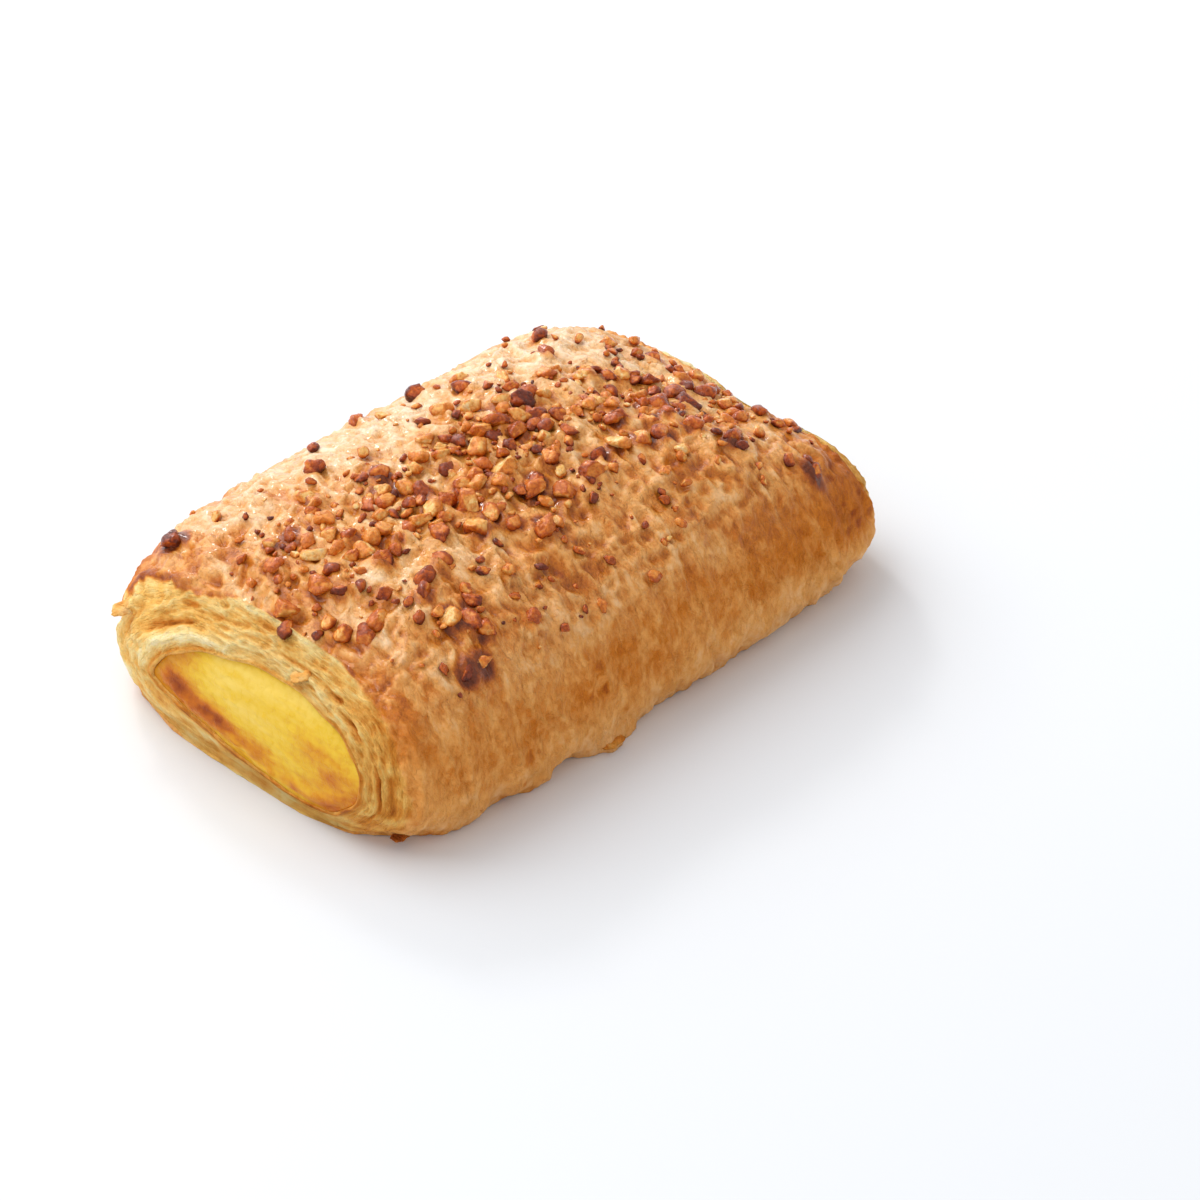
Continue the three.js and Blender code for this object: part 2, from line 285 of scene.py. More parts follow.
# %% Places of the nuts
NUT_COUNT = 133
CRUMB_COUNT = 420
NUT_RADIUS = {"large": 2.6, "small": 1.55}
CRUMB_RADIUS = {"large": 1.7, "small": 0.4}
NUT_SPACING = 0.68
CRUMB_SPACING = 0.66
THROWN_X = (-58, 60)
THROWN_Y = (-37, 33)
MOST_THROWS = 40000
SHRINKING = 0.45
NUT_BAND = {"y": -4.5, "lean": -0.07, "half_width": 13.5}
NUT_SPILL = {"share": 0.3, "x": -26, "long": 24, "y": -26, "wide": 9}
STRAYS = 0.055


def numbers(seed):
    """A repeatable run of numbers from 0 to 1."""
    state = seed
    while True:
        state = (state * 1664525 + 1013904223) % 4294967296
        yield state / 4294967296


def nut_share(x, y):
    """How thickly the nuts lie at a point of the plan."""
    band = bump(NUT_BAND["y"] + NUT_BAND["lean"] * x, NUT_BAND["half_width"], y)
    spill = bump(NUT_SPILL["y"], NUT_SPILL["wide"], y) * bump(NUT_SPILL["x"], NUT_SPILL["long"], x)
    wave = math.sin(x / 3.6 + 2 * math.sin(y / 6.3)) * math.sin(y / 3.3 + 2 * math.sin(x / 7.1))
    clumps = mix(0.25, 1, smooth(-0.45, 0.45, wave))
    away_from_ends = smooth(-57, -42, x) * smooth(55, 46, x)
    return clumps * (band + NUT_SPILL["share"] * spill + STRAYS) * away_from_ends


def thrown(count, radius, seed, spacing, taken=()):
    """Places as (x, y, radius), the largest first, clear of each other and of those taken."""
    run = numbers(seed)
    places = []
    for _ in range(MOST_THROWS):
        if len(places) == count:
            break
        x = mix(*THROWN_X, next(run))
        y = mix(*THROWN_Y, next(run))
        keep = next(run)
        size = mix(radius["large"], radius["small"], (len(places) / count) ** SHRINKING)
        if keep > nut_share(x, y):
            continue
        others = list(taken) + places
        if all(math.hypot(p[0] - x, p[1] - y) > spacing * (p[2] + size) for p in others):
            places.append((x, y, size))
    return places


nut_places = thrown(NUT_COUNT, NUT_RADIUS, 20, NUT_SPACING)
crumb_places = thrown(CRUMB_COUNT, CRUMB_RADIUS, 77, CRUMB_SPACING, nut_places)
print("nuts:", len(nut_places), "crumbs:", len(crumb_places))

# %% [markdown]
# ## Relief of the crust
#
# Steam lifts the glazed dough in blisters, and rolling leaves fine wrinkles that run round the
# roll. Modelling them by hand would take days, and a bump map alone leaves the outline smooth.
# So the skin is a fine mesh that is pushed in and out by the sum of a few such effects.

# %% Blisters, wrinkles and ridges
BLISTER_COUNT = 420
DIP = {"x": 42, "y": -13, "long": 12, "wide": 15, "deep": 1.1}
# Each lobe of the foot: its x, its width, and how far it stands out.
FOOT_LOBES = [(-47, 5, 1.2), (-28.5, 4, 1), (-21, 3, -1), (-11, 5.5, 3.2)]
FOOT_RAGS = [(0.5, noise, (2.2, 30, 3), 33), (0.3, noise, (1.0, 30, 2), 34)]
SWELL = {"blister": 0.55, "long": 0.35, "slanted": 0.25, "ridge": 0.38}
BENDING = {"by": 1.6, "size": 6, "seeds": (15, 16)}
TOP_WRINKLES = [
    (0.26, creased, (2.6, 4.6, 4.6), 11),
    (0.30, creased, (1.4, 2.2, 2.2), 12),
    (0.30, cloudy, 3.6, 13),
]
PIT = {"deep": 0.30, "size": (1.5, 2.2, 2.2), "seed": 17}
SIDE_STREAKS = [(0.30, creased, (3.0, 14, 14), 21), (0.18, creased, (1.5, 5, 5), 22)]
SIDE_DENTS = [(0.34, cloudy, (5, 8, 8), 23)]
SIDE_SLANT = 0.41
GRAIN = [(0.07, noise, 0.9, 31)]


def foot_relief(p):
    """Lobes of dough that spread at the foot of the front side, as on the solid."""
    x, y, z = p.T
    low = 1 - smooth(0.5, 5, z)
    rim = smooth(0.93, 1, level(x, y, z))
    out = sum(far * bump(at, width, x) for at, width, far in FOOT_LOBES)
    return low * rim * (out * (y < 0) + summed(FOOT_RAGS, p))


def broad_relief(p):
    """Swells and side ridges that the solid has too, in millimetres."""
    x, y, z = p.T
    top = smooth(20, 34, z)
    side = smooth(0.5, 5, z) * (1 - top)
    blisters = np.sin(x / 3.4 + 2.1 * np.sin(y / 6.1)) * np.sin(y / 3.9 + 1.7 * np.sin(x / 7.3))
    swells = SWELL["long"] * np.sin(x / 9.5 + y / 17 + 0.6)
    swells += SWELL["slanted"] * np.sin(x / 15 - y / 8.5 + 2.1)
    dip = DIP["deep"] * bump(DIP["x"], DIP["long"], x) * bump(DIP["y"], DIP["wide"], y)
    ridges = SWELL["ridge"] * np.sin(x / 1.35 + z / 9 + 1.6 * np.sin(x / 8.3))
    uneven = 0.6 + 0.7 * noise(p, 8, 35)
    away_from_cut = 1 - smooth(CAP_START - 3, CAP_START, np.abs(x))
    return away_from_cut * (top * (SWELL["blister"] * blisters + swells - dip) + side * ridges * uneven)


def blister_relief(p):
    """Domes of a few millimetres on the glazed top, stretched a little round the roll."""
    run = numbers(5)
    total = np.zeros(len(p))
    for _ in range(BLISTER_COUNT):
        x = mix(-58, 58, next(run))
        y = mix(-39, 39, next(run))
        radius = mix(1.1, 4.0, next(run) ** 2)
        height = radius * mix(0.10, 0.24, next(run))
        inner = ((p[:, 0] - x) / radius) ** 2 + ((p[:, 1] - y) / (1.5 * radius)) ** 2
        total = np.maximum(total, height * np.clip(1 - inner, 0, 1) ** 1.5)
    return total * smooth(14, 24, p[:, 2])


def fine_relief(p):
    """Wrinkles that run round the roll, streaks up the sides, and grain."""
    bent = p.copy()
    for axis, seed in enumerate(BENDING["seeds"]):
        bent[:, axis] += BENDING["by"] * noise(p, BENDING["size"], seed)
    slanted = bent.copy()
    slanted[:, 0] += SIDE_SLANT * p[:, 2]
    pits = PIT["deep"] * smooth(0.25, 0.7, noise(bent, PIT["size"], PIT["seed"]))
    on_top = summed(TOP_WRINKLES, bent) - pits
    on_side = summed(SIDE_STREAKS, slanted) + summed(SIDE_DENTS, bent)
    return mix(on_side, on_top, smooth(18, 30, p[:, 2])) + summed(GRAIN, p)


print("blisters:", BLISTER_COUNT)

# %% [markdown]
# ## Relief of the ends
#
# At each end the dough was cut across, so its layers show as a band of thin sheets. In this band
# the sheets are long creases, bent and broken up by noise. On the upper left a sheet has come
# away and leaves a gap over a plump pale fold, and a browned rim closes over the cream.

# %% Layers of the cut ends
BAND_WIDTH = 14.0
SHEET_BENDS = [(0.022, noise, 9, 41), (0.016, noise, 3.5, 42)]
LINE_BENDS = [(0.020, noise, 9, 41), (0.014, noise, 3.5, 42)]
SHEET_DRIFT = [(1.3, noise, 12, 46)]
STRANDS = [
    (0.24, creased, (1.7, 5, 5), 43),
    (0.20, creased, (1.1, 2.0, 2.0), 44),
    (0.14, noise, (0.6, 1.0, 1.0), 45),
    (0.34, cloudy, (2.2, 2.6, 2.6), 47),
]
# Lines that follow the band: how high in millimetres, at which share t of its width, how wide.
LINES = {
    "lip": (0.35, 0.06, 0.05),
    "curl": (0.8, 0.26, 0.05),
    "under_curl": (-0.5, 0.37, 0.05),
    "pocket": (-1.5, 0.59, 0.045),
    "fold": (0.75, 0.79, 0.09),
    "groove": (-0.3, 0.93, 0.025),
}
HOLLOW = -0.5
RIM = {"high": 0.32, "uneven": 0.25, "t": 0.965, "width": 0.03}
HOLE_WIDTH = 0.035
# Where a sheet has torn: the share t, y and z, how long along the sheet, and how deep.
HOLES = [
    (0.55, -21.4, 25.6, 2.0, 1.2),
    (0.70, -27.2, 22.9, 2.4, 1.1),
    (0.28, -18.5, 27.8, 2.6, 0.6),
    (0.61, -34.4, 12.5, 3.2, 1.2),
    (0.36, 7.0, 27.6, 4.0, 0.7),
    (0.50, -9.0, 27.6, 5.0, 0.7),
    (0.45, 20.5, 22.0, 3.0, 0.6),
]


def ring_noise(p, seed):
    """The way round the end as a place in noise, the same from the crust's edge to the cream."""
    return np.stack([np.full(len(p), 10.0 * seed), p[:, 1], p[:, 2]], axis=1)


def across_sheets(t, p, seed):
    """How far in a point lies across the bent sheets, in millimetres."""
    ring = ring_noise(p, seed)
    return BAND_WIDTH * (t + summed(SHEET_BENDS, ring)) + summed(SHEET_DRIFT, ring)


def on_upper_left(y, z):
    """1 on the upper left of an end, as seen from the front."""
    return smooth(0, 9, y) * smooth(9, 14, z)


def end_relief(t, p, seed):
    """Relief in millimetres at share t of the way from the crust's edge in to the cream."""
    y, z = p[:, 1], p[:, 2]
    ring = ring_noise(p, seed)
    thick = 0.5 + 0.5 * smooth(4, 13, z)
    bent = t + summed(LINE_BENDS, ring)
    line = {name: high * bump(at, width, bent) for name, (high, at, width) in LINES.items()}
    upper_left = on_upper_left(y, z)
    in_pocket = smooth(9, 14, y) * (1 - smooth(22, 26, y)) * smooth(14, 18, z)
    shape = line["lip"] + HOLLOW * smooth(0.08, 0.2, t) * (1 - smooth(0.5, 0.6, t))
    shape += smooth(24, 30, y) * (line["curl"] + line["under_curl"]) + in_pocket * line["pocket"]
    shape += upper_left * (line["fold"] + line["groove"])
    shape += (RIM["high"] + RIM["uneven"] * noise(ring, 2.6, 48)) * bump(RIM["t"], RIM["width"], t)
    holes = np.zeros(len(t))
    for hole_t, hole_y, hole_z, long, deep in HOLES:
        beside = bump(hole_y, long, y) * bump(hole_z, 3 * long, z)
        holes = np.maximum(holes, deep * beside * bump(hole_t, HOLE_WIDTH, bent))
    # The plump fold and the underside are calmer than the torn sheets between them.
    calm = 0.75 * upper_left * bump(0.79, 0.12, bent) + 0.3 * (1 - smooth(7, 12, z))
    torn = smooth(0.02, 0.1, t) * (1 - 0.75 * np.clip(calm, 0, 1)) * (1 - 0.6 * smooth(0.88, 0.97, t))
    sheets = np.stack([across_sheets(t, p, seed) + 20 * seed, y, z], axis=1)
    shape += torn * summed(STRANDS, sheets) - holes
    return thick * shape * (1 - smooth(0.98, 1, t))


print("torn places at each end:", len(HOLES))

# %% [markdown]
# ## Making a mesh
#
# Blender's mesh primitives don't give a skin like this, so the points are joined ring by ring
# into four-sided faces. Values that colour the dough, such as how toasted a spot is, are stored
# on the points as attributes, where a material reads them.

# %% Mesh from points and faces
def make_piece(name, points, faces, values=None):
    """A smooth-shaded object from points in millimetres, with the values stored on its points."""
    mesh = bpy.data.meshes.new(name)
    mesh.from_pydata((points * MM).tolist(), [], faces)
    mesh.shade_smooth()
    for key, value in (values or {}).items():
        attribute = mesh.attributes.new(key, "FLOAT", "POINT")
        attribute.data.foreach_set("value", np.asarray(value, np.float32))
    mesh.validate()
    print(name, len(mesh.vertices), "points", len(mesh.polygons), "faces")
    return add_object(name, mesh)


def ring_faces(rings, n, closed):
    """Four-sided faces between rings of n points; closed joins the last ring to the first."""
    faces = []
    last = rings if closed else rings - 1
    for r in range(last):
        a = r * n
        b = ((r + 1) % rings) * n
        for i in range(n):
            j = (i + 1) % n
            faces.append((a + i, a + j, b + j, b + i))
    return faces


# %% [markdown]
# ## The dough
#
# The skin runs from the cream at one end, out over the cut layers, along the crust, and in over
# the layers of the other end. Inside the roll a wall follows the cream. It is one closed surface,
# as the dough is one piece.

# %% Points of the dough
STATIONS = 197
CAP_RINGS = 64
TUNNEL_DEPTHS = (0.6, 1.6, 3.5, 7.0)
NEAR_SEED = 0.4
FAR_SEED = 2.9
MEAN_RELIEF = 0.35


def cap_points(end):
    """Rings of one end from the crust's edge to the cream: points, shares t, and the band's room."""
    edge = section(end * CAP_START)
    opening = cream_outline()
    t = np.repeat(np.linspace(0, 1, CAP_RINGS + 1)[1:], AROUND)
    pair = np.tile(edge, (CAP_RINGS, 1))
    goal = np.tile(opening, (CAP_RINGS, 1))
    y = mix(pair[:, 0], goal[:, 0], t)
    z = mix(pair[:, 1], goal[:, 1], t)
    room = smooth(1, 6, np.hypot(*(goal - pair).T))
    return np.stack([end * end_reach(end, y, z), y, z], axis=1), t, room


def crust_points():
    """Sections of the roll between its two cut ends."""
    along = np.linspace(-CAP_START, CAP_START, STATIONS)
    rings = [np.column_stack([np.full(AROUND, x), section(x)]) for x in along]
    return np.vstack(rings)


def flipped(rings):
    """The same rings in the other order along the roll."""
    shape = (-1, AROUND) + rings.shape[1:]
    return rings.reshape(shape)[::-1].reshape(rings.shape)


def pushed(points, lift):
    """The points moved out by lift, but never through the table."""
    moved = points + outward(points) * lift[:, None]
    moved[:, 2] = np.maximum(moved[:, 2], 0)
    return moved


def on_foot(points):
    """1 on the flat sole and 0 above it, where relief has faded out."""
    return 1 - smooth(0.0, 1.5, points[:, 2])


def near_nuts(points, places, margin):
    """1 close beside a nut and 0 away from it, seen from above."""
    close = np.zeros(len(points))
    for x, y, radius in places:
        distance = np.hypot(points[:, 0] - x, points[:, 1] - y)
        close = np.maximum(close, 1 - smooth(0.6 * radius, radius + margin, distance))
    return close * smooth(16, 24, points[:, 2])


near_base, near_t, near_room = cap_points(-1)
far_base, far_t, far_room = cap_points(1)
crust_base = crust_points()
base = np.vstack([flipped(near_base), crust_base, far_base])
cap_share = np.concatenate([flipped(near_t), np.zeros(len(crust_base)), far_t])
print("points of the dough before relief:", len(base))

# %% [markdown]
# ## Push the skin in and out
#
# A sculpting brush would do this by hand, and a Displace modifier with one texture at a time.
# Here all the effects are added up into one distance for each point, so they fade where they have
# to: at the sole, which stays flat, and at the cut ends. Dough also climbs a little round each nut.

# %% Push the skin in and out
GLUED = {"high": 0.55, "margin": 1.5}
blisters = blister_relief(base)
fine = fine_relief(base)
beside_nut = near_nuts(base, nut_places, GLUED["margin"])
glued = GLUED["high"] * beside_nut * (cap_share < 0.02)
relief = broad_relief(base) + blisters + fine + glued - MEAN_RELIEF * smooth(3, 9, base[:, 2])
away_from_cut = 1 - smooth(0.0, 0.16, cap_share)
lift = away_from_cut * relief * (1 - on_foot(base)) + foot_relief(base)
near_lift = flipped(near_room) * end_relief(flipped(near_t), flipped(near_base), NEAR_SEED)
far_lift = far_room * end_relief(far_t, far_base, FAR_SEED)
layer_lift = np.concatenate([near_lift, np.zeros(len(crust_base)), far_lift])
skin = pushed(base, lift + layer_lift)
print("relief from", (lift + layer_lift).min(), "to", (lift + layer_lift).max(), "mm")

# %% [markdown]
# ## How toasted each spot is
#
# The oven browns what stands proud and what is glazed, and leaves lower sides and cut layers pale.
# Fine crests are painted paler as highlight, and the creases between them darker as painted shade.
# The value stored here runs from 0, pale dough, to 1, nearly burnt. It is worked out
# from the same relief as the shape, with drifting patches over it.

# %% Toasted crust
SIDE_TOAST = 0.46
TOP_TOAST = 0.31
DARK_SPECKS = 0.16
x, y, z = base.T
top = smooth(20, 33, z)
patches = cloudy(base, 17, 51)
spots = cloudy(base, (4, 8, 8), 61)
toast = mix(SIDE_TOAST, TOP_TOAST, top)
toast += mix(0.07, 0.12, top) * patches + mix(0.05, 0.13, top) * spots
specks = smooth(0.45, 0.75, noise(base, (1.6, 2.4, 2.4), 66))
toast += DARK_SPECKS * specks * smooth(-0.2, 0.5, patches)
# Blisters catch the heat and brown. Fine crests are painted paler as highlight, and the hollows between
# them darker as painted shade.
toast += 0.08 * np.clip(blisters, 0, 1) - mix(0.05, 0.26, top) * np.clip(fine, -0.8, 0.8)
# The front shoulder is painted browner as shade and the back of the top paler as light, as the key lamp
# stands high behind; the far end of the top is paler too.
toast += top * (0.14 * bump(-29, 9, y) - 0.15 * smooth(2, 26, y) - 0.12 * smooth(20, 50, x))
# The rim above the near cut is browner too.
toast += (0.22 + 0.16 * spots) * bump(-51, 6, x) * smooth(12, 22, z) * smooth(-24, -8, y)
# The front side darkens away from the cream end, painted shade with warm reflected light, and stays pale
# near the tray.
front_side = (1 - top) * (y < 0)
toast += 0.14 * smooth(-10, 40, x) * front_side * smooth(9, 20, z) - 0.12 * (1 - smooth(3, 15, z))
# Glaze pools round the nuts and turns to caramel.
caramel = smooth(-0.1, 0.45, noise(base, (7, 9, 9), 68))
toast += beside_nut * (0.14 + 0.16 * noise(base, 2.4, 67) + 0.42 * caramel)
print("crust toasted from", toast.min(), "to", toast.max())

# %% Where the cut layers begin
edge = 0.02 + 0.13 * smooth(4, 14, y) + 0.19 * smooth(-18, -27, y)
edge += (cap_share > 0) * (0.05 * noise(base, 6, 71) + 0.045 * noise(base, 1.8, 72))
layers = smooth(edge - 0.03, edge + 0.04, cap_share)
glaze = smooth(18, 30, z) * (1 - layers)
near_edge = (cap_share > 0) * smooth(edge - 0.14, edge, cap_share)
toast += (0.26 + 0.2 * spots) * near_edge * smooth(-28, -20, y) * smooth(12, 20, z)
print("share of the points on cut layers:", layers.mean())

# %% Toasted layers
LAYER_TOAST = 0.27
lower_lip = 1 - smooth(7, 12, z)
layer_toast = LAYER_TOAST + 0.10 * patches + 0.08 * spots + 0.16 * smooth(-16, -32, y)
# Hollows between the sheets are painted darker as shade and their crests paler as highlight, and the
# plump fold on the upper left stays pale.
layer_toast += -0.22 * np.clip(layer_lift, -1.6, 0.8)
layer_toast -= 0.08 * on_upper_left(y, z) * bump(0.79, 0.08, cap_share)
# The rim round the cream and the lip below it are browner.
layer_toast += 0.3 * bump(0.96, 0.04, cap_share) + 0.16 * lower_lip * bump(0.97, 0.07, cap_share)
layer_toast += lower_lip * (0.08 + 0.3 * noise(base, (3, 6, 1.5), 74))
toast = mix(toast, layer_toast, layers)
near_across = across_sheets(flipped(near_t), flipped(near_base), NEAR_SEED)
far_across = across_sheets(far_t, far_base, FAR_SEED)
across = np.concatenate([near_across, np.zeros(len(crust_base)), far_across])
print("toast from", toast.min(), "to", toast.max())

# %% [markdown]
# ## One closed dough
#
# The cream could be laid over a hole in the skin, but the dough is thick at the hole. A short wall
# runs inward from both rims and joins in the middle, so no open edge shows beside the cream.

# %% Make the dough
WALL_TOAST = 0.35


def tunnel_rings():
    """Rings of the wall round the cream, from the far end back to the near one."""
    far_rim = skin[-AROUND:]
    near_rim = skin[:AROUND]
    inward = [far_rim - (d, 0, 0) for d in TUNNEL_DEPTHS]
    outgoing = [near_rim + (d, 0, 0) for d in reversed(TUNNEL_DEPTHS)]
    return np.vstack(inward + outgoing)


wall = tunnel_rings()
dough_points = np.vstack([skin, wall])
dough_values = {
    "toast": np.concatenate([toast, np.full(len(wall), WALL_TOAST)]),
    "layers": np.concatenate([layers, np.ones(len(wall))]),
    "glaze": np.concatenate([glaze, np.zeros(len(wall))]),
    "across": np.concatenate([across, np.full(len(wall), BAND_WIDTH)]),
}
dough_faces = ring_faces(len(dough_points) // AROUND, AROUND, closed=True)
dough = make_piece("baked_dough", dough_points, dough_faces, dough_values)

# %% [markdown]
# ## Effects shared by the finishes
#
# Dough, nuts and cream all have fine mottling, at their own scale and strength. It is a shader
# node group with named sockets, built once and placed in each material with its own values. It
# gives a mask that drifts how brown a spot is, a mask of creases, and a height for the bumps.

# %% Helpers for materials
def tint(red, green, blue):
    """A colour as a painter mixes it on screen, 0 to 255, as Blender's linear values."""
    channels = [v / 255 for v in (red, green, blue)]
    linear = [v / 12.92 if v <= 0.04045 else ((v + 0.055) / 1.055) ** 2.4 for v in channels]
    return (*linear, 1.0)


def add_node(tree, kind, **settings):
    """A new node with its own settings; its sockets are set afterwards."""
    made = tree.nodes.new(kind)
    for key, value in settings.items():
        setattr(made, key, value)
    return made


def set_sockets(node, values):
    """Constants, written straight on a node's sockets."""
    for name, value in values.items():
        node.inputs[name].default_value = value


def read(tree, name):
    """A value stored on the mesh."""
    return add_node(tree, "ShaderNodeAttribute", attribute_name=name).outputs["Fac"]


def calculate(tree, operation, *values, clamp=False):
    """A Math node; the values are sockets or numbers."""
    made = add_node(tree, "ShaderNodeMath", operation=operation, use_clamp=clamp)
    for socket, value in zip(made.inputs, values):
        if isinstance(value, (int, float)):
            socket.default_value = value
        else:
            tree.links.new(value, socket)
    return made.outputs[0]


def add_scaled(tree, base, *terms):
    """base plus each term, given as (socket, strength), in a chain of Math nodes."""
    for socket, strength in terms:
        base = calculate(tree, "MULTIPLY_ADD", socket, strength, base)
    return base


def colour_ramp(tree, factor, stops):
    """Colours along a ramp, given as (position, red, green, blue)."""
    made = add_node(tree, "ShaderNodeValToRGB")
    elements = made.color_ramp.elements
    elements[0].position, elements[1].position = stops[0][0], stops[-1][0]
    elements[0].color, elements[1].color = tint(*stops[0][1:]), tint(*stops[-1][1:])
    for position, *colour in stops[1:-1]:
        elements.new(position).color = tint(*colour)
    tree.links.new(factor, made.inputs[0])
    return made.outputs[0]


def blend_colours(tree, factor, a, b):
    """Colour a where the factor is 0, b where it is 1."""
    made = add_node(tree, "ShaderNodeMix", data_type="RGBA")
    factor_socket, colour_a, colour_b = made.inputs[0], made.inputs[6], made.inputs[7]
    tree.links.new(factor, factor_socket)
    tree.links.new(a, colour_a)
    tree.links.new(b, colour_b)
    return made.outputs[2]


print("a middle grey on screen, as Blender keeps it:", tint(128, 128, 128))


# %% The mottling group
CREASE_SHARPNESS = 9.0
CREASE_HEIGHT = 0.22


def build_mottling():
    """Soft mottling, the creases along its middle values, and a height for bumps."""
    group = bpy.data.node_groups.new("mottling", "ShaderNodeTree")
    face = group.interface
    face.new_socket("Size", in_out="INPUT", socket_type="NodeSocketFloat")
    face.new_socket("Stretch", in_out="INPUT", socket_type="NodeSocketVector")
    for name in ("Mottle", "Creases", "Height"):
        face.new_socket(name, in_out="OUTPUT", socket_type="NodeSocketFloat")
    start = add_node(group, "NodeGroupInput")
    end = add_node(group, "NodeGroupOutput")
    place = add_node(group, "ShaderNodeTexCoord")
    stretched = add_node(group, "ShaderNodeVectorMath", operation="MULTIPLY")
    group.links.new(place.outputs["Object"], stretched.inputs[0])
    group.links.new(start.outputs["Stretch"], stretched.inputs[1])
    scale = calculate(group, "DIVIDE", 1.0, start.outputs["Size"])
    soft = add_node(group, "ShaderNodeTexNoise")
    set_sockets(soft, {"Detail": 4.0, "Roughness": 0.6, "Distortion": 0.3})
    group.links.new(stretched.outputs[0], soft.inputs["Vector"])
    group.links.new(scale, soft.inputs["Scale"])
    group.links.new(soft.outputs["Fac"], end.inputs["Mottle"])
    bent = calculate(group, "ABSOLUTE", calculate(group, "SUBTRACT", soft.outputs["Fac"], 0.5), 0.0)
    far = calculate(group, "MULTIPLY", bent, CREASE_SHARPNESS)
    creases = calculate(group, "SUBTRACT", 1.0, far, clamp=True)
    group.links.new(creases, end.inputs["Creases"])
    lowered = calculate(group, "MULTIPLY", creases, CREASE_HEIGHT)
    group.links.new(calculate(group, "SUBTRACT", soft.outputs["Fac"], lowered), end.inputs["Height"])
    return group


mottling = build_mottling()
print("nodes in the mottling group:", len(mottling.nodes))


def mottle(tree, size, stretch=(1, 1, 1)):
    """The outputs of the mottling group, with features of the given size in metres."""
    made = add_node(tree, "ShaderNodeGroup", node_tree=mottling)
    set_sockets(made, {"Size": size, "Stretch": stretch})
    return made.outputs


# %% [markdown]
# ## Baked dough
#
# Glazed crust turns from cream through gold and orange brown to a dark red brown. Cut layers have
# no glaze, so they stay matt and straw coloured. A ramp of colours follows the stored toasting,
# with fine mottling added, and the coat is the dried egg wash.

# %% The dough's finish
def new_material(name):
    """A material with a bare Principled shader, its node tree and that shader."""
    material = bpy.data.materials.new(name)
    material.use_nodes = True
    material.node_tree.nodes.clear()
    tree = material.node_tree
    shader = add_node(tree, "ShaderNodeBsdfPrincipled")
    output = add_node(tree, "ShaderNodeOutputMaterial")
    tree.links.new(shader.outputs[0], output.inputs["Surface"])
    return material, tree, shader


CRUST_STOPS = [
    (0.00, 252, 221, 184),
    (0.20, 246, 196, 140),
    (0.40, 236, 165, 86),
    (0.58, 211, 121, 28),
    (0.78, 168, 80, 8),
    (1.00, 112, 44, 2),
]
LAYER_STOPS = [
    (0.00, 255, 240, 196),
    (0.22, 255, 222, 148),
    (0.45, 250, 192, 98),
    (0.68, 228, 146, 50),
    (1.00, 170, 86, 22),
]
SHEET_LINE = {"thick": 0.42, "long": 2.6}


def fine_bump(tree, shader, height, distance):
    """Relief too fine for the mesh, as high as distance in metres."""
    made = add_node(tree, "ShaderNodeBump")
    set_sockets(made, {"Distance": distance})
    tree.links.new(height, made.inputs["Height"])
    tree.links.new(made.outputs[0], shader.inputs["Normal"])


def let_light_in(shader, weight, depth, radius=(1.0, 0.5, 0.2)):
    """Light goes as deep as depth in metres into the food, and red goes deepest."""
    set_sockets(shader, {"Subsurface Weight": weight, "Subsurface Scale": depth})
    set_sockets(shader, {"Subsurface Radius": radius})


def sheet_lines(tree):
    """Fine lines along the cut sheets: noise stretched along them, by the stored place across."""
    place = add_node(tree, "ShaderNodeTexCoord")
    apart = add_node(tree, "ShaderNodeSeparateXYZ")
    tree.links.new(place.outputs["Object"], apart.inputs[0])
    joined = add_node(tree, "ShaderNodeCombineXYZ")
    across_lines = calculate(tree, "DIVIDE", read(tree, "across"), SHEET_LINE["thick"])
    tree.links.new(across_lines, joined.inputs[0])
    for axis in (1, 2):
        along = calculate(tree, "DIVIDE", apart.outputs[axis], SHEET_LINE["long"] * MM)
        tree.links.new(along, joined.inputs[axis])
    lines = add_node(tree, "ShaderNodeTexNoise")
    set_sockets(lines, {"Scale": 1.0, "Detail": 3.0, "Roughness": 0.6})
    tree.links.new(joined.outputs[0], lines.inputs["Vector"])
    centred = calculate(tree, "SUBTRACT", lines.outputs["Fac"], 0.5)
    return calculate(tree, "MULTIPLY", centred, read(tree, "layers"))


def dough_finish():
    material, tree, shader = new_material("baked_dough")
    coarse = mottle(tree, 0.0034, (1, 0.5, 0.5))
    small = mottle(tree, 0.0012, (1, 0.6, 0.6))
    tiny = mottle(tree, 0.0005, (1, 0.8, 0.8))
    sheets = sheet_lines(tree)
    lively = calculate(tree, "MULTIPLY_ADD", read(tree, "glaze"), 0.25, 0.3)
    blotches = calculate(tree, "ADD", coarse["Mottle"], small["Mottle"])
    blotches = calculate(tree, "SUBTRACT", blotches, 1.0)
    # The creases of the mottling are painted a little browner, as shade in the grooves.
    browning = ((blotches, lively), (coarse["Creases"], 0.05), (sheets, -0.38))
    brown = add_scaled(tree, read(tree, "toast"), *browning)
    crust = colour_ramp(tree, brown, CRUST_STOPS)
    layers = colour_ramp(tree, brown, LAYER_STOPS)
    tree.links.new(blend_colours(tree, read(tree, "layers"), crust, layers), shader.inputs["Base Color"])
    uneven = calculate(tree, "MULTIPLY_ADD", coarse["Mottle"], 1.2, 0.1)
    glazed = calculate(tree, "MULTIPLY", read(tree, "glaze"), uneven, clamp=True)
    tree.links.new(calculate(tree, "MULTIPLY", glazed, 0.7), shader.inputs["Coat Weight"])
    tree.links.new(calculate(tree, "MULTIPLY_ADD", glazed, -0.36, 0.6), shader.inputs["Roughness"])
    set_sockets(shader, {"Coat Roughness": 0.12, "Specular IOR Level": 0.18})
    let_light_in(shader, 0.1, 0.001)
    finer = ((small["Height"], 0.5), (tiny["Height"], 0.25), (sheets, 1.2))
    fine_bump(tree, shader, add_scaled(tree, coarse["Height"], *finer), 0.0009)
    return material


# %% Dress the dough
dough.data.materials.append(dough_finish())
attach(dough, "root")
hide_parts("pastry")
print("the dough takes the place of the solid pastry")

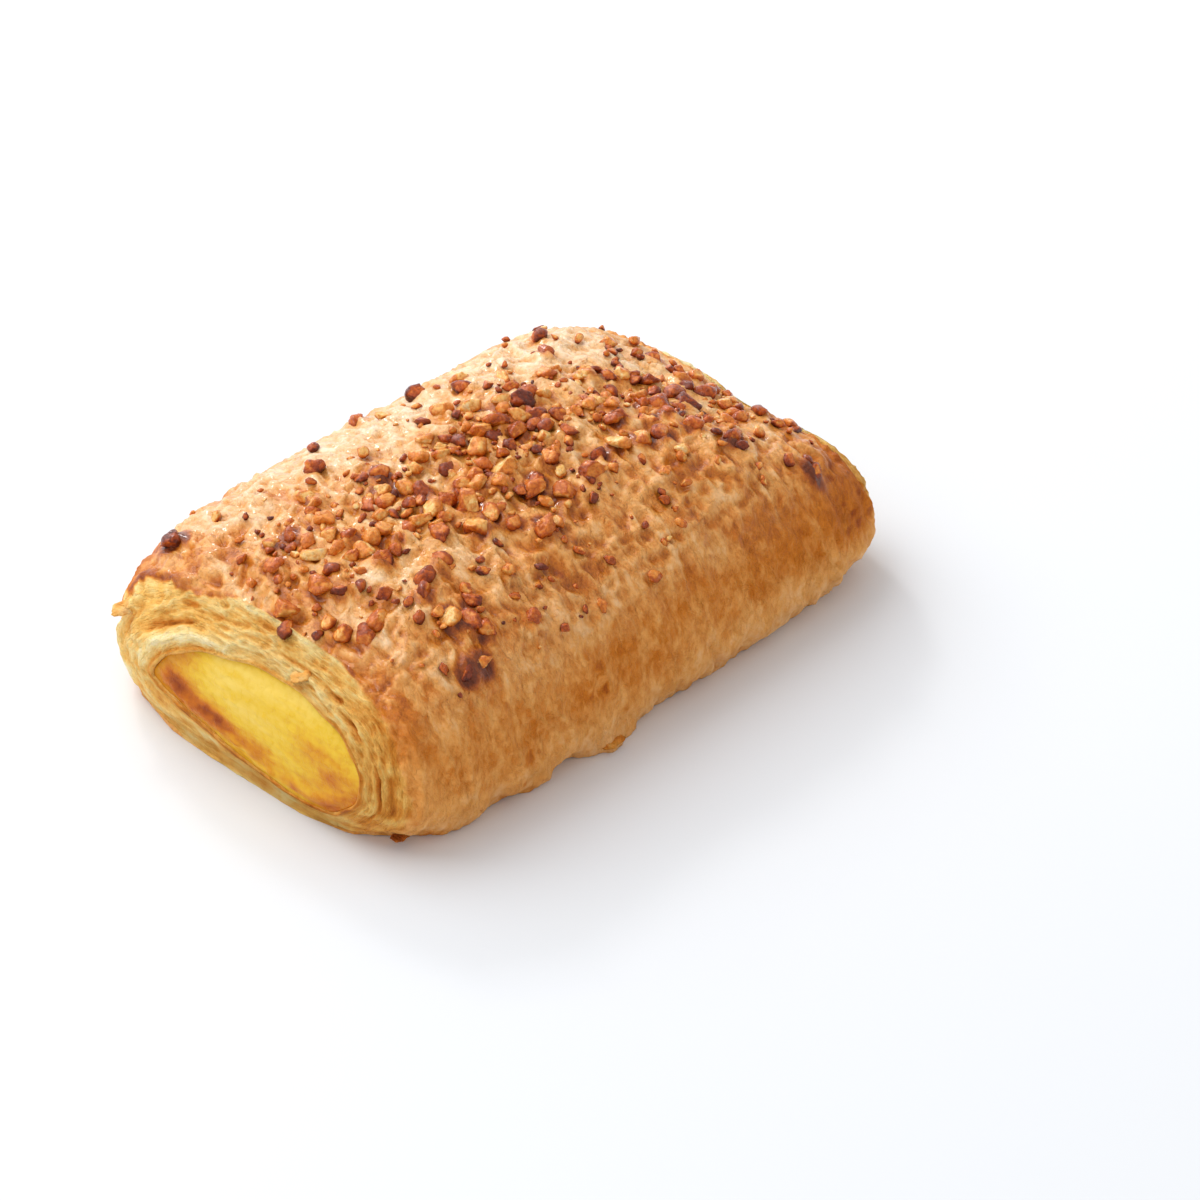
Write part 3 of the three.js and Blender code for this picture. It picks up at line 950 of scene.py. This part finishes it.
# %% [markdown]
# ## Chopped nuts
#
# The nuts are roasted almonds and hazelnuts, chopped, so each piece is a pebble with a few flat
# cuts. A ball is pressed flat where a cut falls, and its corners are left a little round. The
# shade of each piece is its own, from cream to dark caramel, and is stored on its points.

# %% Shape of a nut
def ball(subdivisions):
    """Points and faces of an even ball of radius 1."""
    form = bmesh.new()
    bmesh.ops.create_icosphere(form, subdivisions=subdivisions, radius=1.0)
    points = np.array([v.co for v in form.verts])
    faces = [tuple(v.index for v in f.verts) for f in form.faces]
    form.free()
    return points, faces


BALLS = {n: ball(n) for n in (2, 3, 4)}
NUT_SQUASH = (1.12, 0.84, 0.7)
NUT_CUTS = 6
CUT_DEPTH = {"deepest": 0.52, "shallowest": 0.84}
DEEP_CUT = 0.66
CORNER_SHARPNESS = 90
ROUND_SIZE = 1.08
print("points of the balls:", {n: len(points) for n, (points, _) in BALLS.items()})


def random_way(run):
    """A random direction, not of length 1."""
    return Vector((next(run) - 0.5, next(run) - 0.5, next(run) - 0.5))


def nut_shape(radius, run, directions):
    """A pebble round the origin with flat cuts, and how far each point lies on a deep, pale cut."""
    skin = np.exp(-CORNER_SHARPNESS * np.full(len(directions), ROUND_SIZE))
    flesh = np.zeros(len(directions))
    for _ in range(NUT_CUTS):
        way = np.array(random_way(run).normalized())
        cut = mix(CUT_DEPTH["deepest"], CUT_DEPTH["shallowest"], next(run))
        flat = np.minimum(cut / np.maximum(directions @ way, 0.01), 3)
        share = np.exp(-CORNER_SHARPNESS * flat)
        if cut < DEEP_CUT:
            flesh += share
        else:
            skin += share
    r = -np.log(skin + flesh) / CORNER_SHARPNESS
    shape = directions * np.array(NUT_SQUASH) * (r * radius)[:, None]
    return shape, flesh / (skin + flesh)


# %% Lay the nuts on the crust
NUT_LEAN = 0.7
FULL_TURN = 6.2832
SEAT = 0.62 * NUT_SQUASH[2]
SUNK = {"nuts": 0.29, "crumbs": 0.25}
SEEDS_APART = 7
ROUGH = [(0.16, 0.55, 81), (0.08, 0.22, 82)]


def nut_pose(x, y, run):
    """Where a nut sits, and how it is turned: on the crust, leaning a little."""
    z = crust_height(np.array([x]), np.array([y]))
    spot = np.array([[x, y, z[0]]])
    way = outward(spot)[0]
    up = (Vector(way) + random_way(run) * NUT_LEAN).normalized()
    turn = Vector((0, 0, 1)).rotation_difference(up)
    turn = turn @ Quaternion((0, 0, 1), next(run) * FULL_TURN)
    return spot[0], way, np.array(turn.to_matrix())


def scatter(places, first_seed, sunk, fineness):
    """All the pieces at these places, as points, faces and stored values."""
    points, faces, shade, pale = [], [], [], []
    start = 0
    for i, (x, y, radius) in enumerate(places):
        run = numbers(first_seed + SEEDS_APART * i)
        directions, ball_faces = BALLS[fineness(radius)]
        shape, flesh = nut_shape(radius, run, directions)
        spot, way, turn = nut_pose(x, y, run)
        lift = broad_relief(spot[None])[0] + radius * (SEAT - sunk)
        rough = 1 + sum(high * noise(shape + spot, size * radius, seed) for high, size, seed in ROUGH)
        turned = (shape * rough[:, None]) @ turn.T
        points.append(turned + spot + way * lift)
        faces += [tuple(v + start for v in f) for f in ball_faces]
        low = 1 - smooth(-0.35, 0.3, turned @ way / radius)
        shade.append(next(run) ** 1.2 + 0.55 * low)
        pale.append(flesh)
        start += len(shape)
    return np.vstack(points), faces, {"shade": np.concatenate(shade), "pale": np.concatenate(pale)}


nut_parts = scatter(nut_places, 1000, SUNK["nuts"], lambda r: 4 if r > 2.2 else 3)
nuts = make_piece("chopped_nuts", *nut_parts)
crumb_parts = scatter(crumb_places, 5000, SUNK["crumbs"], lambda r: 3 if r > 1 else 2)
crumbs = make_piece("nut_crumbs", *crumb_parts)

# %% [markdown]
# ## Crumbs of crust
#
# A few crumbs of dough bake onto the roll: one at the left edge, one above the cream and two at the
# foot. They are cut like the nuts, but flatter and rougher, and they take the dough's own material
# with browning of their own, because they are the same food.

# %% Crumbs of crust
CRUMB_ROUGH = [(0.14, 0.8, 83), (0.07, 0.35, 87)]
CRUST_CRUMBS = [
    {"at": (-58.6, 30.2, 17.5), "radius": 2.2, "flat": 0.5, "toast": 0.3},
    {"at": (-55.3, -33.6, 2.2), "radius": 1.8, "flat": 0.5, "toast": 0.85},
    {"at": (-12.5, -40.2, 1.9), "radius": 2.6, "flat": 0.5, "toast": 0.6},
    {"at": (-58.2, -13.6, 25.9), "radius": 1.7, "flat": 0.7, "toast": 0.45},
]


def crust_crumbs():
    """Four loose crumbs of dough, baked on where the solid has them."""
    directions, ball_faces = BALLS[4]
    points, faces = [], []
    for i, crumb in enumerate(CRUST_CRUMBS):
        shape, _ = nut_shape(crumb["radius"], numbers(50 + i), directions)
        rough = 1 + sum(high * noise(shape, size, seed + i) for high, size, seed in CRUMB_ROUGH)
        points.append(shape * rough[:, None] * (1, 1, crumb["flat"]) + crumb["at"])
        faces += [tuple(v + i * len(shape) for v in f) for f in ball_faces]
    points = np.vstack(points)
    browned = np.repeat([crumb["toast"] for crumb in CRUST_CRUMBS], len(directions))
    values = {
        "toast": browned + 0.2 * noise(points, 1.2, 91),
        "layers": np.full(len(points), 0.5),
        "glaze": np.zeros(len(points)),
        "across": points[:, 0],
    }
    return make_piece("crust_crumbs", points, faces, values)


loose_crust = crust_crumbs()
loose_crust.data.materials.append(dough.data.materials[0])
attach(loose_crust, "root")
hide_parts("pastry")

# %% [markdown]
# ## Finish of the nuts
#
# Roasted nuts are pale inside and brown on their skin, with syrup on top. Each piece has its own
# shade, its deep cuts show the pale flesh, and its underside is darkest. One material serves all
# the pieces, because the differences are stored on their points.

# %% Finish of the nuts
NUT_STOPS = [
    (0.00, 255, 232, 178),
    (0.22, 250, 192, 106),
    (0.42, 232, 138, 46),
    (0.62, 198, 92, 16),
    (0.82, 148, 56, 6),
    (1.00, 92, 28, 4),
]


def nut_finish():
    material, tree, shader = new_material("chopped_nuts")
    coarse = mottle(tree, 0.0022)
    small = mottle(tree, 0.0007)
    brown = calculate(tree, "MULTIPLY_ADD", read(tree, "shade"), 0.54, -0.08)
    brown = add_scaled(tree, brown, (read(tree, "pale"), -0.24), (coarse["Mottle"], 0.5))
    brown = add_scaled(tree, brown, (small["Mottle"], 0.3), (coarse["Creases"], 0.14))
    tree.links.new(colour_ramp(tree, brown, NUT_STOPS), shader.inputs["Base Color"])
    set_sockets(shader, {"Roughness": 0.26, "Specular IOR Level": 0.22})
    set_sockets(shader, {"Coat Weight": 0.35, "Coat Roughness": 0.1})
    let_light_in(shader, 0.15, 0.0008)
    fine_bump(tree, shader, small["Height"], 0.0004)
    return material


nut_material = nut_finish()
for piece in (nuts, crumbs):
    piece.data.materials.append(nut_material)
    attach(piece, "root")
    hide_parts("pastry")

# %% [markdown]
# ## The custard cream
#
# Custard that bakes at the open end sets to a smooth, glossy face with a faint skin, and its
# lower edge catches and turns brown. A flat disc would look like plastic, so the face follows the
# round of the roll, sinks at its edge, and carries shallow streaks left by piping.

# %% Shape of the cream
CREAM_AROUND = 220
CREAM_GAP = 0.05
CREAM_SUNK = {"top": 0.9, "bottom": 0.4, "middle": 0.7}
PIPED_STREAKS = [(0.16, cloudy, (1, 9, 1.6), 91), (0.08, cloudy, (1, 3, 0.8), 95)]
FLAKES = [(0.16, creased, (1, 3, 1.1), 93)]
RIDGE = {"high": 0.85, "above_floor": 2.7, "width": 1.7}
RIDGE_BREAKS = [(0.25, noise, 3.2, 98), (0.25, noise, 1.4, 99)]
RIDGE_DRIFT = [(0.7, cloudy, 4, 97)]
FACE_SHARES = np.concatenate([np.linspace(0.04, 0.9, 36), np.linspace(0.915, 1, 10)])


def cream_chord(y):
    """The height of the line between the half-moon's two tips."""
    return CREAM["z"] + CREAM["slope"] * (y - CREAM["y"])


def above_floor(y, z):
    """Height above the lower bow of the half-moon."""
    c = np.clip((CREAM["y"] - y) / CREAM["half_width"], -1, 1)
    bow = CREAM_BOW["below"] * (1 + CREAM_BOW["below_lean"] * c)
    return z - cream_chord(y) + bow * np.sqrt(1 - c**2)


def face_place(depth, y, z):
    """Points of a face as places in noise, the same for all its rings."""
    return np.stack([np.full_like(y, depth), y, z], axis=1)


def on_ridge(end, y, z):
    """1 along the ridge of browned cream above the lower bow, uneven along its length."""
    here = face_place(9.0 * end, y, z)
    along = bump(RIDGE["above_floor"], RIDGE["width"], above_floor(y, z) + summed(RIDGE_DRIFT, here))
    return (0.7 + summed(RIDGE_BREAKS, here)) * along * smooth(-30, -22, y) * smooth(20, 16, y)


def under_ridge(height):
    """1 on the lip below the ridge, where the browned cream is flaky."""
    return 1 - smooth(1.4, 2.8, height)


def cream_face(end, share):
    """One ring of the cream's face, at share of the way from its middle to its edge."""
    y, z = cream_outline(CREAM_GAP, share, CREAM_AROUND).T
    edge = mix(CREAM_SUNK["bottom"], CREAM_SUNK["top"], smooth(-2, 6, z - cream_chord(y)))
    sunk = mix(CREAM_SUNK["middle"], edge, share**3)
    here = face_place(30.0 * end, y, z)
    flaky = summed(FLAKES, here) * under_ridge(above_floor(y, z))
    inner = (RIDGE["high"] * on_ridge(end, y, z) + flaky) * (1 - smooth(0.9, 1, share))
    x = end * (end_reach(end, y, z) - sunk + summed(PIPED_STREAKS, here) + inner)
    return np.stack([x, y, z], axis=1)


def cream_toast(end, share):
    """How browned the cream is: most along the ridge, least above it, golden towards the tips."""
    y, z = cream_outline(CREAM_GAP, share, CREAM_AROUND).T
    here = face_place(9.0 * end, y, z)
    height = above_floor(y, z) + summed(RIDGE_DRIFT, here) + 0.3 * noise(here, 1.2, 96)
    # Browned along the lower bow, narrower towards the front and paler at the back tip and the lip.
    wide = 1 - 0.35 * smooth(-8, -20, y)
    low = 0.6 * (1 - smooth(3.6 * wide, 8.8 * wide, height)) * mix(0.6, 1, smooth(19.5, 16, y))
    low *= (1 - 0.34 * under_ridge(height)) * (0.86 + 0.4 * cloudy(here, (1, 3, 1.4), 94))
    # Darkest on the ridge, in one burnt spot and along a line above the ridge.
    dark = 0.14 * on_ridge(end, y, z) + 0.34 * bump(13.5, 2.5, y) * bump(11.8, 1.2, z)
    dark += 0.34 * smooth(-4, 5, y) * bump(4.4, 0.9, height) * smooth(18, 15, y)
    golden = (0.66 + 0.3 * noise(here, (1, 4, 2), 92)) * smooth(-9, -25, y) * (1 - smooth(11, 20, z))
    golden = np.maximum(golden, 0.62 * smooth(3, 14, y))
    rim = 0.35 * smooth(0.9, 1.0, share)
    return np.maximum(np.maximum(low, rim), golden) + dark


# From the middle of the near face out to its edge, along the tunnel, and in to the far middle.
steps = [(-1, share) for share in FACE_SHARES] + [(1, share) for share in FACE_SHARES[::-1]]
rings = [cream_face(*step) for step in steps]
centres = [rings[0].mean(axis=0), rings[-1].mean(axis=0)]
cream_points = np.vstack(rings + centres)
cream_faces = ring_faces(len(rings), CREAM_AROUND, closed=False)
near_centre = len(cream_points) - 2
last_ring = near_centre - CREAM_AROUND
for i in range(CREAM_AROUND):
    j = (i + 1) % CREAM_AROUND
    cream_faces.append((j, i, near_centre))
    cream_faces.append((last_ring + i, last_ring + j, near_centre + 1))
cream_values = {"toast": np.concatenate([cream_toast(*step) for step in steps] + [np.zeros(2)])}
cream = make_piece("custard_cream", cream_points, cream_faces, cream_values)

# %% [markdown]
# ## Finish of the cream
#
# Custard is a clear yellow that browns through ochre to a dark skin, and a little light goes into
# it. A plain yellow would look painted, so a ramp of colours follows the stored browning, with the
# mottling drawn out along the streaks.

# %% Finish of the cream
CREAM_STOPS = [
    (0.00, 240, 206, 96),
    (0.22, 232, 190, 50),
    (0.42, 218, 150, 26),
    (0.62, 194, 104, 16),
    (0.82, 146, 64, 14),
    (1.00, 88, 34, 18),
]


def cream_finish():
    material, tree, shader = new_material("custard_cream")
    streaks = mottle(tree, 0.007, (1, 0.35, 1.5))
    small = mottle(tree, 0.0014)
    brown = calculate(tree, "MULTIPLY_ADD", read(tree, "toast"), 0.62, -0.38)
    brown = add_scaled(tree, brown, (streaks["Mottle"], 0.7), (small["Mottle"], 0.3))
    tree.links.new(colour_ramp(tree, brown, CREAM_STOPS), shader.inputs["Base Color"])
    set_sockets(shader, {"Roughness": 0.4, "Specular IOR Level": 0.15})
    set_sockets(shader, {"Coat Weight": 0.12, "Coat Roughness": 0.2})
    let_light_in(shader, 0.25, 0.002, (1.0, 0.7, 0.2))
    fine_bump(tree, shader, small["Height"], 0.0002)
    return material


cream.data.materials.append(cream_finish())
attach(cream, "root")
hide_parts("cream")
print("the cream takes the place of the solid cream")

# %% [markdown]
# ## Floor and light
#
# The pastry lies on a white studio sweep. A broad soft light stands high behind it on the left,
# so its right side is in shade and a soft shadow falls to the front right, and a pale surround
# fills the rest. A weak light at the left and a low one behind lift the edges. One small lamp adds
# a few glints to the glaze; more of them would give it hard spots, which the photograph hasn't got.

# %% Floor
FLOOR_HALF = 3000.0
FLOOR_COLOUR = (0.78, 0.80, 0.83, 1)


def make_floor():
    corners = FLOOR_HALF * np.array([[-1, -1, 0], [1, -1, 0], [1, 1, 0], [-1, 1, 0]])
    floor = make_piece("floor", corners, [(0, 1, 2, 3)])
    material, _, shader = new_material("studio_floor")
    set_sockets(shader, {"Base Color": FLOOR_COLOUR, "Roughness": 0.9, "Specular IOR Level": 0.1})
    floor.data.materials.append(material)


make_floor()


# %% Lights
LIT_SPOT = Vector((0, 0, 0.015))
LIGHTS = [
    ("key", (-0.22, 0.6, 0.85), 1.0, 7.9),
    ("left_fill", (-0.85, 0.05, 0.35), 0.6, 0.7),
    ("sheen", (0.5, 0.95, 0.4), 0.9, 3.1),
    ("glints", (0.3, 0.75, 0.6), 0.14, 1.8),
]
SURROUND = 0.7


def soft_light(name, place, size, power):
    """A square soft light that looks at the pastry; place and size in metres, power in watts."""
    lamp = bpy.data.lights.new(name, "AREA")
    lamp.shape = "SQUARE"
    lamp.size = size
    lamp.energy = power
    made = add_object(name, lamp)
    made.location = place
    aim(made, LIT_SPOT - Vector(place))


for light in LIGHTS:
    soft_light(*light)
world = bpy.data.worlds.new("studio")
world.use_nodes = True
set_sockets(world.node_tree.nodes["Background"], {"Color": (1, 1, 1, 1), "Strength": SURROUND})
bpy.context.scene.world = world
bpy.context.scene.view_settings.view_transform = "Standard"
print("lights:", [name for name, *_ in LIGHTS])

# %% [markdown]
# ## Camera
#
# The photograph was taken with a long lens from the front left, well above the table. The camera
# stands where the outline of the roll lines up with it: the direction is given by an azimuth and
# an elevation, and the frame's middle lies to the right of the pastry.

# %% Camera
CAMERA = {"azimuth": -45.67, "elevation": 36.5, "distance": 0.936, "lens": 159.7, "sensor": 36}
TARGET = {"right": 0.0185, "up": 0.0031}


def make_camera():
    azimuth = math.radians(CAMERA["azimuth"])
    elevation = math.radians(CAMERA["elevation"])
    flat = math.cos(elevation)
    back = Vector((math.sin(azimuth) * flat, -math.cos(azimuth) * flat, math.sin(elevation)))
    right = Vector((math.cos(azimuth), math.sin(azimuth), 0))
    up = back.cross(right)
    target = right * TARGET["right"] + up * TARGET["up"]
    lens = bpy.data.cameras.new("camera")
    lens.lens = CAMERA["lens"]
    lens.sensor_width = CAMERA["sensor"]
    camera = add_object("camera", lens)
    camera.location = target + back * CAMERA["distance"]
    aim(camera, -back)
    bpy.context.scene.camera = camera


make_camera()
print("the camera stands", CAMERA["distance"], "m away")
